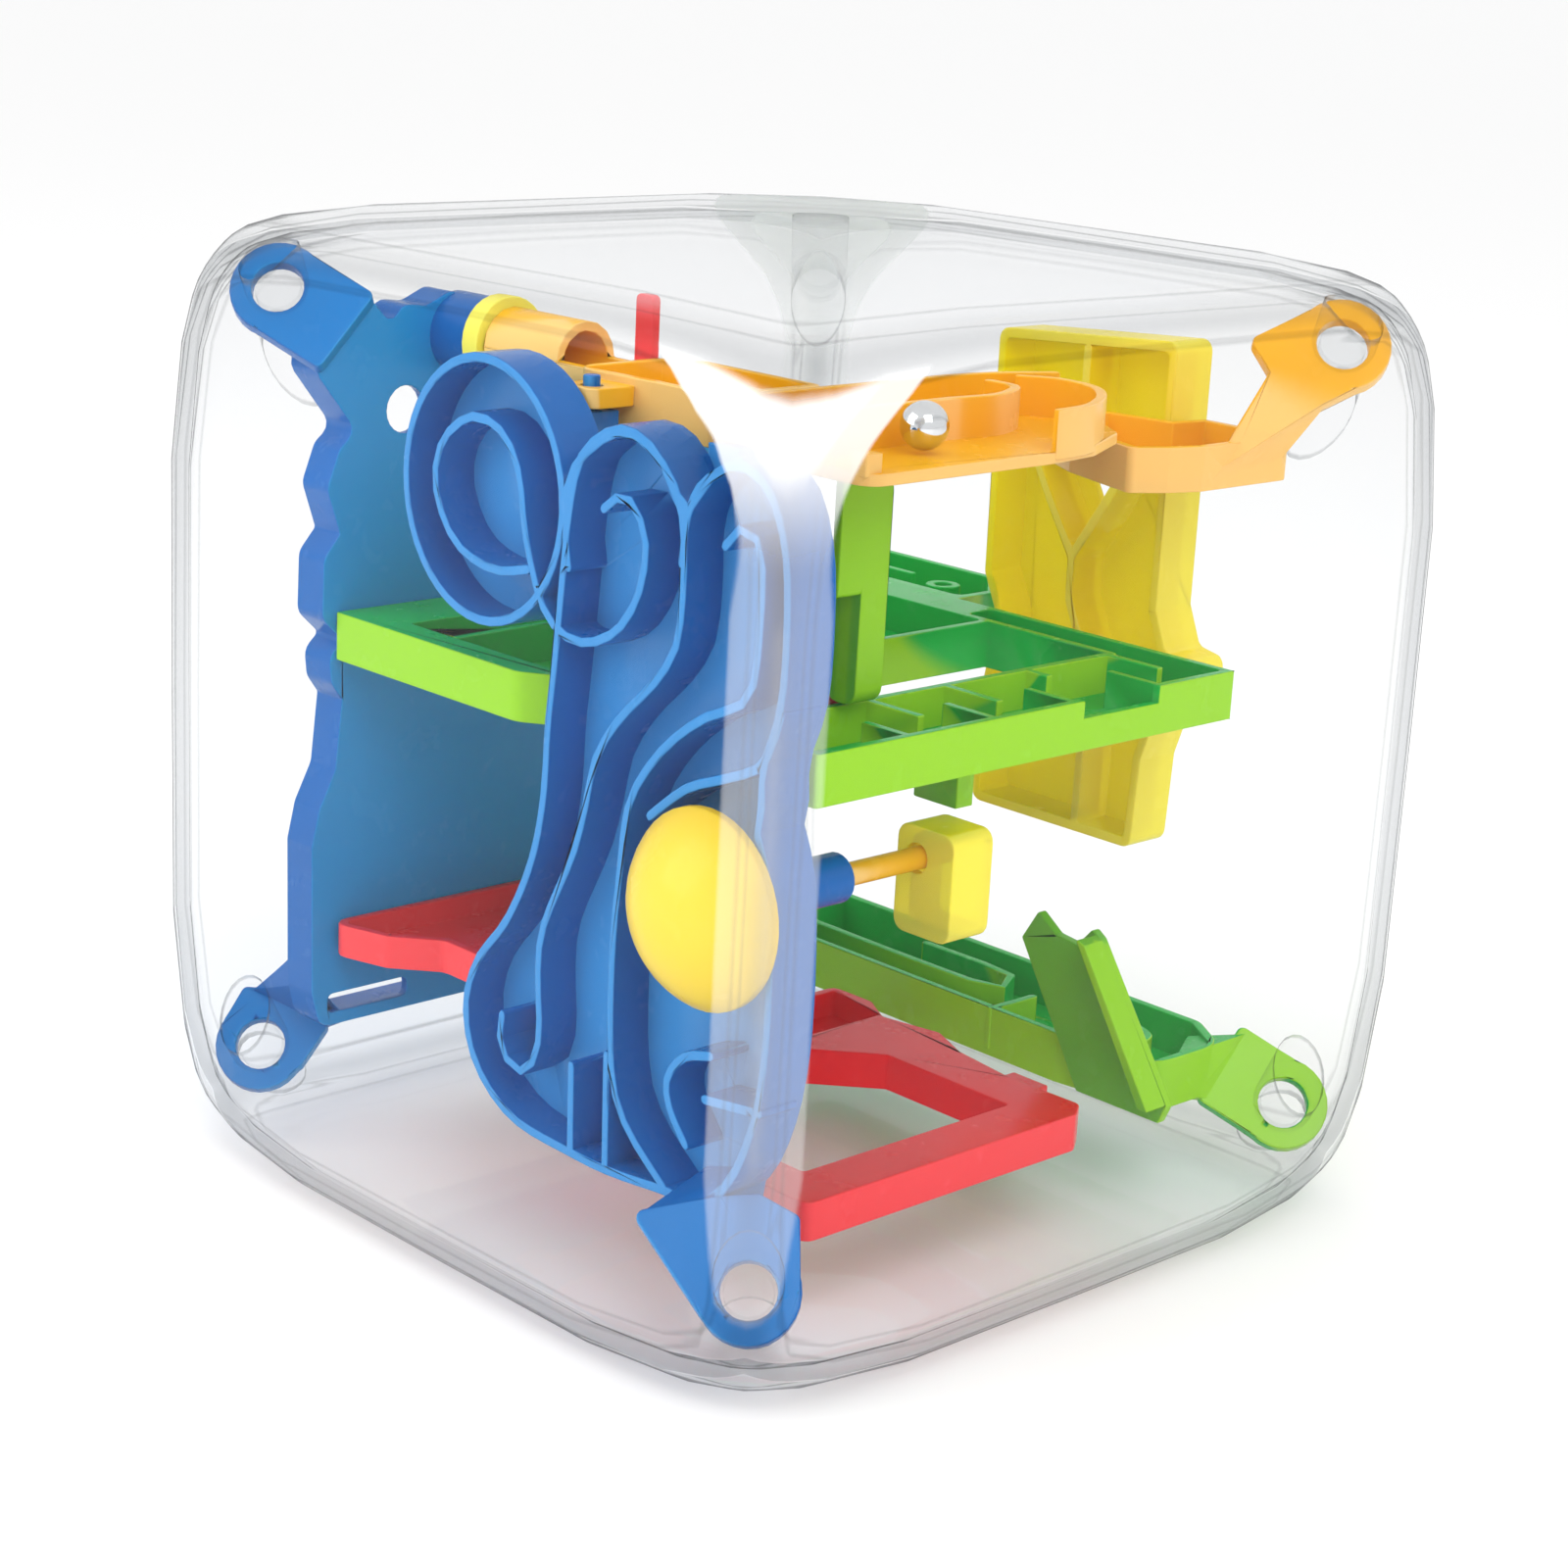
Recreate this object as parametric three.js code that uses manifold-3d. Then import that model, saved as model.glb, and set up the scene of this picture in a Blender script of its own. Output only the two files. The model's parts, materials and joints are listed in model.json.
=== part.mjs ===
// Tilt maze game: a clear rounded case in two halves that holds a coloured three-dimensional ball track.
// Millimetres, +Z up, origin at the centre of the case. The left front face looks along -Y, the right front
// face along +X. The two halves of the case part along six of its edges, round the diagonal (+1, -1, +1).
// Everything is drawn in a cube and then stretched in height by TALL; round pieces are only moved.
import * as THREE from "three";
import { mergeVertices } from "three/addons/utils/BufferGeometryUtils.js";
import { ConvexGeometry } from "three/addons/geometries/ConvexGeometry.js";
import Module from "manifold-3d";

const wasm = await Module();
wasm.setup();

// Driving dimensions of the case
const HALF = 62.5; // half the side, seen from above
const TALL = 1.05; // the case's height over its side: everything is drawn for a cube and then stretched
const WALL = 2.3; // wall thickness
const EDGE_RADIUS = 8; // rounding of the cube's edges
const CORNER_REACH = 98.5; // radius of the sphere that takes the corners off
const CORNER_BLEND = 10; // width of the blend between that sphere and the rounded cube
const GAP = 0.3; // clearance between pieces that meet

// Corner plates and the posts that clamp them
const AXIS = new THREE.Vector3(1, -1, 1).normalize(); // the diagonal round which the case parts
const PLATE_LEVEL = 30.3; // distance of a plate from the centre along that diagonal
const PLATE_REACH = { upper: 81.4, lower: 84 }; // distance of a plate's hole from that diagonal
const PLATE_THICK = 2;
const EYE_RADIUS = 6.4;
const HOLE_RADIUS = 3.5;
const PIN_RADIUS = 3.1;
const POST_RADIUS = 4.3;
const SOCKET_DEPTH = 2;

// Ball track
const RISE = 2; // height of the track's own level 0, and of the corner plates, above the middle of the case
const SHEET = 1.4; // floors and walls of the moulded trays
const RIM = 1.2; // thickness of the swirl panel's channel walls
const BALL_RADIUS = 3;

// Swirl panel, parallel to the left front face
const SWIRL_FRONT = -51;
const SWIRL_FLOOR = -45.2;
const SWIRL_BACK = -43.8;
const LUG_Y = -40.8; // where the top tray's two lugs sit on the panel's studs

// Corner panel, parallel to the left rear face
const CORNER_FACE = -40.5;
const CORNER_BACK = -46.5;

// Wheel in the swirl panel and its axle, which runs along Y
const WHEEL = { x: 41, z: -8, radius: 12.4, dome: 7 };
const AXLE_RADIUS = 1.5;
const AXLE_HOLE = 1.9;

// Levels of the horizontal trays
const TOP = { low: 40, high: 46.3 };
const CORNER_TRAY = { low: 34, high: 39.6 };
const MID = { low: 4.1, high: 10.4 };
const BASE = { low: -51, high: -44 };
const RED = { low: -51, high: -46 };

const plastic = (color, opacity = 1, roughness = 0.25) =>
  new THREE.MeshStandardMaterial({ color, roughness, metalness: 0, transparent: opacity < 1, opacity });
const CLEAR = plastic(0xeef2f4, 0.25, 0.08);
const BLUE = plastic(0x1077cf);
const YELLOW = plastic(0xf9dc10, 0.9);
const ORANGE = plastic(0xf8a818, 0.95);
const GREEN = plastic(0x35b535);
const LIME = plastic(0x84c02c);
const RED_PLASTIC = plastic(0xe0182a);
const STEEL = new THREE.MeshStandardMaterial({ color: 0xd8dadd, roughness: 0.08, metalness: 1 });

const group = new THREE.Group();

// ---------------------------------------------------------------- solids

function solidOf(geometry) {
  const bare = new THREE.BufferGeometry();
  bare.setAttribute("position", geometry.getAttribute("position").clone());
  if (geometry.index) bare.setIndex(geometry.index.clone());
  const merged = mergeVertices(bare, 1e-4);
  return new wasm.Manifold(
    new wasm.Mesh({
      numProp: 3,
      vertProperties: new Float32Array(merged.attributes.position.array),
      triVerts: new Uint32Array(merged.index.array),
    }),
  );
}

const join = (...solids) => solids.reduce((all, next) => all.add(next));
const cut = (from, ...solids) => solids.reduce((rest, next) => rest.subtract(next), from);

// Adds a piece, stretched to the case's height. A piece that has to stay round is only moved: level is the
// height of its centre before the stretch.
function addPiece(name, solid, material, level = null) {
  const placed = level === null ? solid.scale([1, 1, TALL]) : solid.translate([0, 0, level * (TALL - 1)]);
  const { vertProperties, triVerts } = placed.getMesh();
  const geometry = new THREE.BufferGeometry();
  geometry.setAttribute("position", new THREE.BufferAttribute(vertProperties, 3));
  geometry.setIndex(new THREE.BufferAttribute(triVerts, 1));
  geometry.computeVertexNormals();
  const mesh = new THREE.Mesh(geometry, material);
  mesh.name = name;
  group.add(mesh);
}

// ---------------------------------------------------------------- flat outlines

const toVectors = (points) => points.map(([a, b]) => new THREE.Vector2(a, b));

function counterClockwise(points) {
  return THREE.ShapeUtils.area(points) < 0 ? [...points].reverse() : points;
}

// The outline with each corner rounded by an arc; a point's own third number overrides the radius.
function rounded(points, radius, steps = 4) {
  const out = [];
  points.forEach(([a, b, own], i) => {
    const corner = new THREE.Vector2(a, b);
    const before = new THREE.Vector2(...points.at(i - 1).slice(0, 2)).sub(corner);
    const after = new THREE.Vector2(...points[(i + 1) % points.length].slice(0, 2)).sub(corner);
    const half = before.angleTo(after) / 2;
    const wanted = own ?? radius;
    const reach = Math.min(wanted / Math.tan(half), before.length() / 2, after.length() / 2);
    if (wanted === 0 || Math.PI - 2 * half < 0.05) {
      out.push(corner);
      return;
    }
    const arc = reach * Math.tan(half);
    const from = before.clone().setLength(reach);
    const to = after.clone().setLength(reach);
    const centre = before.clone().normalize().add(after.clone().normalize()).setLength(arc / Math.sin(half));
    const start = from.clone().sub(centre);
    const end = to.clone().sub(centre);
    const turn = Math.atan2(start.cross(end), start.dot(end));
    for (let k = 0; k <= steps; k++) {
      const spoke = start.clone().rotateAround(new THREE.Vector2(), (turn * k) / steps);
      out.push(spoke.add(centre).add(corner));
    }
  });
  return out;
}

// The polygon moved inward by a distance, or outward when the distance is negative.
function inset(points, distance) {
  const ring = counterClockwise(toVectors(points));
  return ring.map((corner, i) => {
    const before = corner.clone().sub(ring.at(i - 1)).normalize();
    const after = ring[(i + 1) % ring.length].clone().sub(corner).normalize();
    const inward = new THREE.Vector2(-before.y - after.y, before.x + after.x);
    const scale = (2 * distance) / inward.lengthSq();
    const moved = corner.clone().addScaledVector(inward, scale);
    return [moved.x, moved.y];
  });
}

const circle = (a, b, radius, steps = 24) =>
  Array.from({ length: steps }, (_, k) => {
    const angle = (2 * Math.PI * k) / steps;
    return new THREE.Vector2(a + radius * Math.cos(angle), b + radius * Math.sin(angle));
  });

const closedCurve = (points, steps) => {
  const curve = new THREE.CatmullRomCurve3(
    points.map(([a, b]) => new THREE.Vector3(a, b, 0)),
    true,
    "centripetal",
  );
  return curve.getSpacedPoints(steps).slice(0, -1).map((p) => new THREE.Vector2(p.x, p.y));
};

// The outline of a wall of even thickness along a smooth line, with round ends.
function wallOutline(points, thick, steps) {
  const curve = new THREE.SplineCurve(toVectors(points));
  const line = curve.getSpacedPoints(steps);
  const left = [];
  const right = [];
  line.forEach((p, i) => {
    const along = line[Math.min(i + 1, steps)].clone().sub(line[Math.max(i - 1, 0)]).normalize();
    const side = new THREE.Vector2(-along.y, along.x).multiplyScalar(thick / 2);
    left.push(p.clone().add(side));
    right.push(p.clone().sub(side));
  });
  const cap = (centre, from) =>
    [1, 2].map((k) => from.clone().rotateAround(centre, (-Math.PI * k) / 3));
  return [...left, ...cap(line[steps], left[steps]), ...right.reverse(), ...cap(line[0], right[steps])];
}

// ---------------------------------------------------------------- extrusions

// axis "z": outline in (x, y); axis "y": outline in (x, z); axis "x": outline in (y, z).
const PLACE = {
  z: (from) => new THREE.Matrix4().makeTranslation(0, 0, from + RISE),
  y: (from, to) => new THREE.Matrix4().set(1, 0, 0, 0, 0, 0, -1, to, 0, 1, 0, RISE, 0, 0, 0, 1),
  x: (from) => new THREE.Matrix4().set(0, 0, 1, from, 1, 0, 0, 0, 0, 1, 0, RISE, 0, 0, 0, 1),
};

// A point of the track.
const at = (x, y, z) => new THREE.Vector3(x, y, z + RISE);

function slab(axis, from, to, outline, holes = []) {
  const vectors = (points) => (points[0].isVector2 ? points : toVectors(points));
  const shape = new THREE.Shape(vectors(outline));
  shape.holes = holes.map((hole) => new THREE.Path(vectors(hole)));
  const geometry = new THREE.ExtrudeGeometry(shape, { depth: to - from, bevelEnabled: false });
  return solidOf(geometry.applyMatrix4(PLACE[axis](from, to)));
}

const box = (low, high) =>
  slab("z", low[2], high[2], [
    [low[0], low[1]],
    [high[0], low[1]],
    [high[0], high[1]],
    [low[0], high[1]],
  ]);

const rod = (axis, from, to, a, b, radius, steps = 20) => slab(axis, from, to, circle(a, b, radius, steps));

// A shallow tray: a floor with walls round its outline.
function tray(axis, from, to, outline, radius = 1.5) {
  const body = slab(axis, from, to, rounded(outline, radius));
  const inner = rounded(inset(outline, SHEET), Math.max(radius - SHEET, 0.4));
  return cut(body, slab(axis, from + SHEET, to + 1, inner));
}

const wallAlong = (axis, from, to, points, thick = SHEET, steps = 8) =>
  slab(axis, from, to, wallOutline(points, thick, steps));

function hullOf(points) {
  return solidOf(new ConvexGeometry(points));
}

// ---------------------------------------------------------------- the case's surface

// Distance from the centre to a rounded cube's surface along a direction.
function roundedCubeReach(direction, half, radius) {
  const core = half - radius;
  let low = half;
  let high = half * Math.sqrt(3);
  for (let k = 0; k < 40; k++) {
    const reach = (low + high) / 2;
    const over = direction.map((part) => Math.max(Math.abs(part) * reach - core, 0));
    if (Math.hypot(...over) > radius) high = reach;
    else low = reach;
  }
  return low;
}

// The case's surface, moved inward by a depth: the rounded cube with its corners taken off by a sphere.
function casePoint(direction, depth) {
  const unit = direction.map((part) => part / Math.hypot(...direction));
  const cube = roundedCubeReach(unit, HALF - depth, Math.max(EDGE_RADIUS - depth, 1));
  const sphere = CORNER_REACH - depth;
  const mix = THREE.MathUtils.clamp(0.5 + (0.5 * (sphere - cube)) / CORNER_BLEND, 0, 1);
  const reach = mix * cube + (1 - mix) * sphere - CORNER_BLEND * mix * (1 - mix);
  return unit.map((part) => part * reach);
}

// Where the grid lines of one face lie, from its middle (0) to its edge (1).
const GRID = [0, 0.5, 0.76, 0.872, 0.916, 0.958, 1];
const FULL_GRID = [...GRID.slice(1).reverse().map((t) => -t), ...GRID];

// A patch of the surface over one face of the cube, as triangles that face outward.
function facePatch(axis, sign, lines, depth, triangles, flip) {
  const point = (i, j) => {
    const direction = [0, 0, 0];
    direction[axis] = sign;
    direction[(axis + 1) % 3] = lines[0][i];
    direction[(axis + 2) % 3] = lines[1][j];
    return casePoint(direction, depth);
  };
  const outward = (sign > 0) !== flip;
  for (let i = 0; i + 1 < lines[0].length; i++) {
    for (let j = 0; j + 1 < lines[1].length; j++) {
      const [a, b, c, d] = [point(i, j), point(i + 1, j), point(i + 1, j + 1), point(i, j + 1)];
      triangles.push(...(outward ? [a, b, c, a, c, d] : [a, c, b, a, d, c]));
    }
  }
}

function solidOfTriangles(triangles) {
  const geometry = new THREE.BufferGeometry();
  geometry.setAttribute("position", new THREE.BufferAttribute(new Float32Array(triangles.flat()), 3));
  return solidOf(geometry);
}

function caseVolume(depth) {
  const triangles = [];
  for (const axis of [0, 1, 2]) {
    for (const sign of [-1, 1]) facePatch(axis, sign, [FULL_GRID, FULL_GRID], depth, triangles, false);
  }
  return solidOfTriangles(triangles);
}

// One half of the case: the three faces on one side of the parting line, outside and inside, and the rim
// that closes it. side is +1 for the half towards AXIS and -1 for the other.
function caseHalf(side) {
  const seam = 1 - GAP / 2 / HALF;
  const signs = [side, -side, side];
  const clipped = (sign) => FULL_GRID.map((t) => (t * sign < -0.999 ? -seam * sign : t));
  const triangles = [];
  for (const axis of [0, 1, 2]) {
    const lines = [clipped(signs[(axis + 1) % 3]), clipped(signs[(axis + 2) % 3])];
    facePatch(axis, signs[axis], lines, 0, triangles, false);
    facePatch(axis, signs[axis], lines, WALL, triangles, true);
    for (const which of [0, 1]) {
      rimStrip(axis, signs[axis], lines, which, signs[(axis + 1 + which) % 3], triangles);
    }
  }
  return solidOfTriangles(triangles);
}

// The strip of the rim along one seam edge of a face, between the outer and the inner surface.
function rimStrip(axis, sign, lines, which, otherSign, triangles) {
  const edge = otherSign > 0 ? 0 : lines[which].length - 1;
  const run = lines[1 - which];
  const point = (k, depth) => {
    const direction = [0, 0, 0];
    direction[axis] = sign;
    direction[(axis + 1 + which) % 3] = lines[which][edge];
    direction[(axis + 2 - which) % 3] = run[k];
    return casePoint(direction, depth);
  };
  const turned = sign * otherSign * (which === 0 ? 1 : -1) < 0;
  for (let k = 0; k + 1 < run.length; k++) {
    const [a, b, c, d] = [point(k, 0), point(k + 1, 0), point(k + 1, WALL), point(k, WALL)];
    triangles.push(...(turned ? [a, c, b, a, d, c] : [a, b, c, a, c, d]));
  }
}

// ---------------------------------------------------------------- corner plates and posts

// The frame of one corner: its plate's centre, the direction inward in the plate, and across it.
function cornerFrame(signs) {
  const diagonal = new THREE.Vector3(...signs).normalize();
  const level = Math.sign(diagonal.dot(AXIS));
  const outward = diagonal.clone().addScaledVector(AXIS, -diagonal.dot(AXIS)).normalize();
  const centre = AXIS.clone()
    .multiplyScalar(level * PLATE_LEVEL)
    .addScaledVector(outward, signs[2] > 0 ? PLATE_REACH.upper : PLATE_REACH.lower);
  centre.z += RISE;
  const inward = outward.clone().negate();
  const across = new THREE.Vector3().crossVectors(AXIS, inward);
  return { centre, inward, across };
}

const placeAt = ({ inward, across, centre }) =>
  new THREE.Matrix4().makeBasis(inward, across, AXIS).setPosition(centre);

function alongAxis(frame, from, to, outline) {
  const shape = new THREE.Shape(outline);
  const geometry = new THREE.ExtrudeGeometry(shape, { depth: to - from, bevelEnabled: false });
  const shift = new THREE.Matrix4().makeTranslation(0, 0, from);
  return solidOf(geometry.applyMatrix4(shift).applyMatrix4(placeAt(frame)));
}

// A body turned round a corner's own axis from a profile of (radius, level) points.
function turnedAt(frame, profile, steps = 20) {
  const lathe = new THREE.LatheGeometry(profile.map(([r, level]) => new THREE.Vector2(r, level)), steps);
  return solidOf(lathe.rotateX(Math.PI / 2).applyMatrix4(placeAt(frame)));
}

// A round plate whose neck follows the given outline in (inward, across).
function cornerPlate(signs, neck) {
  const frame = cornerFrame(signs);
  const half = PLATE_THICK / 2;
  const disc = alongAxis(frame, -half, half, circle(0, 0, EYE_RADIUS, 28));
  return join(disc, alongAxis(frame, -half, half, rounded(neck, 1)));
}

// What the two posts of a corner take out of the piece that carries the plate: the hole, and room above
// and below it.
function postRoom(signs) {
  const half = PLATE_THICK / 2;
  const room = POST_RADIUS + GAP;
  const profile = [
    [0, -POST_LENGTH],
    [room, -POST_LENGTH],
    [room, -half],
    [HOLE_RADIUS, -half],
    [HOLE_RADIUS, half],
    [room, half],
    [room, POST_LENGTH],
    [0, POST_LENGTH],
  ];
  return turnedAt(cornerFrame(signs), profile, 24);
}

const plateEdge = (signs, corners) => {
  const frame = cornerFrame(signs);
  return corners.flatMap(([inward, across]) =>
    [-1, 1].map((side) =>
      frame.centre
        .clone()
        .addScaledVector(frame.inward, inward)
        .addScaledVector(frame.across, across)
        .addScaledVector(AXIS, (side * PLATE_THICK) / 2),
    ),
  );
};

const SEAM_CORNERS = [
  [-1, -1, 1],
  [-1, -1, -1],
  [1, 1, 1],
  [1, 1, -1],
  [1, -1, -1],
  [-1, 1, 1],
];
const POST_LENGTH = 30; // longer than any post: the case's wall trims it
const SHOULDER = PLATE_THICK / 2 + GAP;
const SOCKET_MOUTH = -SHOULDER;

function pinPost(signs) {
  const tip = SOCKET_MOUTH - SOCKET_DEPTH + GAP;
  const profile = [
    [0, tip],
    [PIN_RADIUS, tip],
    [PIN_RADIUS, SHOULDER],
    [POST_RADIUS, SHOULDER],
    [POST_RADIUS, POST_LENGTH],
    [0, POST_LENGTH],
  ];
  return turnedAt(cornerFrame(signs), profile);
}

function socketPost(signs) {
  const profile = [
    [0, -POST_LENGTH],
    [POST_RADIUS, -POST_LENGTH],
    [POST_RADIUS, SOCKET_MOUTH],
    [HOLE_RADIUS, SOCKET_MOUTH],
    [HOLE_RADIUS, SOCKET_MOUTH - SOCKET_DEPTH],
    [0, SOCKET_MOUTH - SOCKET_DEPTH],
  ];
  return turnedAt(cornerFrame(signs), profile);
}

function makeCase() {
  const midWall = caseVolume(WALL / 2);
  const pins = SEAM_CORNERS.map((signs) => pinPost(signs).intersect(midWall));
  const sockets = SEAM_CORNERS.map((signs) => socketPost(signs).intersect(midWall));
  addPiece("front_case_half", join(caseHalf(1), ...pins), CLEAR);
  addPiece("back_case_half", join(caseHalf(-1), ...sockets), CLEAR);
}

// ---------------------------------------------------------------- swirl panel

const LOOP = { x: -4.3, z: 32.3, radius: 16.3 };

// Channel walls in (x, z), each a smooth line.
const SWIRL_WALLS = [
  // small loop inside the big one, running on into the bowl of the second loop and its curl
  [
    [5.1, 24.4], [-2, 23.2], [-9.6, 25.3], [-13.8, 31.3], [-12.4, 37.1], [-6.6, 40.8], [-0.6, 39.8],
    [2.9, 35.5], [4.6, 28.1], [8.1, 20.7], [12.6, 17.9], [17.8, 18.1], [23, 21], [26.3, 26.1],
    [26.8, 32], [23.1, 36], [19.1, 33.9],
  ],
  // second loop and the long wall down to the hooked pocket
  [
    [12.9, 26], [11.9, 32.3], [13.6, 38], [21.7, 43.1], [29.3, 40.8], [33.3, 34.8], [33.5, 22.5],
    [30.3, 16.6], [23.4, 10.2], [19.2, 4.5], [17.6, -1.5], [15.5, -8], [10.3, -18.1], [9.4, -24.3],
    [10, -31.7], [9, -35.8], [6.5, -38], [2.3, -36.3], [2.4, -31.8],
  ],
  // inner wall of the third loop and the long wall down beside the wheel
  [
    [40.7, 33.3], [43.7, 35.8], [46.9, 33.3], [47.1, 23.3], [46.2, 18], [43.7, 15.8], [37.8, 13.1],
    [31, 7.9], [25.8, 0.8], [24.4, -8.2], [23.6, -19], [24.2, -32.1], [27.2, -38.5], [34.7, -44],
  ],
  // left side of the third loop
  [[33.4, 30], [34.1, 35.5], [36.5, 39.6], [42.6, 42.9]],
  // end wall of the third loop over the wheel
  [[51.4, 16.5], [48.8, 10.5], [42.8, 7.5], [36, 4.8], [29.5, 0]],
  // lower right loop
  [[42.2, -25.5], [37.5, -27], [34.6, -30.5], [35.3, -34], [38.4, -37.6]],
  [[41.4, -31], [51, -29.8]],
  // two dividers at the bottom
  [[16.5, -34.3], [16.8, -45]],
  [[23.2, -31], [23.6, -45]],
];

const SWIRL_OUTLINE = [
  [11, 22], [10.2, 14], [9.3, 6.3], [8.9, -1.9], [7, -10.3], [2.3, -19.2], [-3.5, -25.9], [-5.8, -32.1],
  [-4.4, -38.4], [-0.3, -42.7], [5.3, -45.2], [17, -46], [24, -46], [34.7, -45], [41.6, -44.4], [46.8, -40],
  [50.2, -33], [52, -24], [52, -10], [50.9, -1.5], [49, 2.5], [49.6, 6], [49.3, 9.5], [51.7, 16.5],
  [52.2, 26], [51.2, 35], [48, 41], [42.6, 43.2], [37.3, 40.8], [33.6, 37], [28.5, 42.3], [21.7, 44],
  [14.5, 40], [12.4, 34],
];

function swirlWall(points) {
  return wallAlong("y", SWIRL_FRONT, SWIRL_FLOOR + 0.2, points, RIM, Math.round(2.2 * points.length));
}

function makeSwirlPanel() {
  const outline = closedCurve(SWIRL_OUTLINE, 88);
  const loop = circle(LOOP.x, LOOP.z, LOOP.radius, 44);
  const floor = join(
    slab("y", SWIRL_FLOOR, SWIRL_BACK, outline),
    slab("y", SWIRL_FLOOR, SWIRL_BACK, loop),
  );
  const inner = closedCurve(inset(SWIRL_OUTLINE, RIM), 88);
  const loopInner = circle(LOOP.x, LOOP.z, LOOP.radius - RIM, 44);
  const block = join(...[outline, loop].map((edge) => slab("y", SWIRL_FRONT, SWIRL_FLOOR + 0.2, edge)));
  const edge = cut(
    block,
    slab("y", SWIRL_FRONT - 1, SWIRL_FLOOR + 1, inner),
    slab("y", SWIRL_FRONT - 1, SWIRL_FLOOR + 1, loopInner),
  );
  const through = (points, radius) => slab("y", SWIRL_FLOOR - 1, SWIRL_BACK + 1, rounded(points, radius));
  const pocket = through([[4, -37], [8.2, -36], [8, -32], [3.6, -32.4]], 1.4);
  const eyeSlot = through([[23.6, 32.6], [25.6, 33], [26, 28], [24.6, 27.4]], 0.8);
  const axleHole = rod("y", SWIRL_FLOOR - 1, SWIRL_BACK + 1, WHEEL.x, WHEEL.z, AXLE_HOLE);
  const corner = [1, -1, -1];
  const neck = [[-3.9, 5.1], [8.4, 14.8], [10.5, 6], [11.4, -0.5], [9, -5.6], [0, -6.2]];
  const plate = cornerPlate(corner, neck);
  const web = hullOf([
    ...plateEdge(corner, [[8.4, 13.4], [10.5, 6]]),
    at(36, SWIRL_BACK, -42),
    at(46, SWIRL_BACK, -39),
    at(35, SWIRL_BACK, -47.4),
    at(45, SWIRL_BACK, -45.4),
    at(35, SWIRL_FRONT, -46.8),
  ]);
  const studs = [4.2, 32.2].map((x) =>
    join(
      box([x - 2.6, SWIRL_BACK - 0.2, 34], [x + 2.6, LUG_Y + 2.4, 42.6]),
      rod("z", 42.4, 46.6, x, LUG_Y, 1.1, 12),
    ),
  );
  const panel = join(floor, edge, ...SWIRL_WALLS.map(swirlWall), web, plate, ...studs);
  addPiece("swirl_panel", cut(panel, pocket, eyeSlot, axleHole, postRoom(corner)), BLUE);
}

// ---------------------------------------------------------------- corner panel

// Outline in (y, z), scallops on the front edge first.
const CORNER_OUTLINE = [
  [-51.3, 42.3], [-44, 33.6], [-46.6, 31.5], [-48.6, 26.5], [-46.4, 20.4, 0.6], [-49, 17.5], [-49.2, 9.5],
  [-45.8, 6.4, 0.6], [-48, 4.4], [-47.6, 0.8], [-45.8, -1.6, 0.6], [-46.8, -11], [-49.4, -16], [-50.6, -21],
  [-50.4, -41.2],
  [-49, -46.4], [-22, -46.4], [20, -46.4], [24, -42], [24, 20], [21, 32], [4, 35], [-3, 33], [-8, 30],
  [-15, 31], [-19, 38], [-22.5, 44], [-23.6, 48.8], [-28.4, 50.8], [-32.6, 49], [-36.6, 49.4],
  [-38.4, 46.8], [-42.3, 51.1],
];

function makeCornerPanel() {
  const outline = rounded(CORNER_OUTLINE, 2.2, 3);
  const body = slab("x", CORNER_BACK, CORNER_FACE, outline);
  const inner = rounded(inset(CORNER_OUTLINE, SHEET), 1.2, 3);
  const hollow = slab("x", CORNER_BACK - 1, CORNER_FACE - SHEET, inner);
  const slot = rounded([[-47.6, -44.6], [-47.6, -42], [-34, -42], [-34, -44.6]], 0.8);
  const window = slab("x", CORNER_BACK - 1, CORNER_FACE + 1, slot);
  const eye = slab("x", CORNER_BACK - 1, CORNER_FACE + 1, circle(-35.8, 35.8, 3.1, 20));
  const mouth = rod("x", CORNER_BACK - 1, CORNER_FACE + 12, -26.6, 45.2, 3.9);
  const tube = slab("x", CORNER_FACE - SHEET, CORNER_FACE + 7.4, circle(-26.6, 45.2, 5.4, 28));
  const dimple = slab("x", CORNER_FACE - 2 * SHEET, CORNER_FACE - 0.5, circle(-24, -27.5, 6.2, 28));
  const upperSigns = [-1, -1, 1];
  const upper = cornerPlate(upperSigns, [[0, -6.3], [11.4, -6.3], [11.4, 6.3], [0, 6.3]]);
  const lowerSigns = [-1, -1, -1];
  const neck = [[-0.4, -6.2], [4, -5.4], [9.6, -2], [10, 3], [1.2, 8.6], [-3.6, 5.2]];
  const lower = cornerPlate(lowerSigns, neck);
  const curl = hullOf([
    ...plateEdge(lowerSigns, [[2.2, 7.6], [9.2, 2.6], [9.2, -1.6]]),
    at(CORNER_BACK, -50.1, -38),
    at(CORNER_BACK, -44, -46.2),
    at(CORNER_FACE, -49.8, -40),
    at(CORNER_FACE, -44, -46.2),
  ]);
  const shell = cut(join(cut(body, hollow), tube, upper), window, eye, mouth);
  const panel = join(shell, dimple, lower, curl);
  addPiece("corner_panel", cut(panel, postRoom(upperSigns), postRoom(lowerSigns)), BLUE);
}

// ---------------------------------------------------------------- wheel and axle

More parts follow.
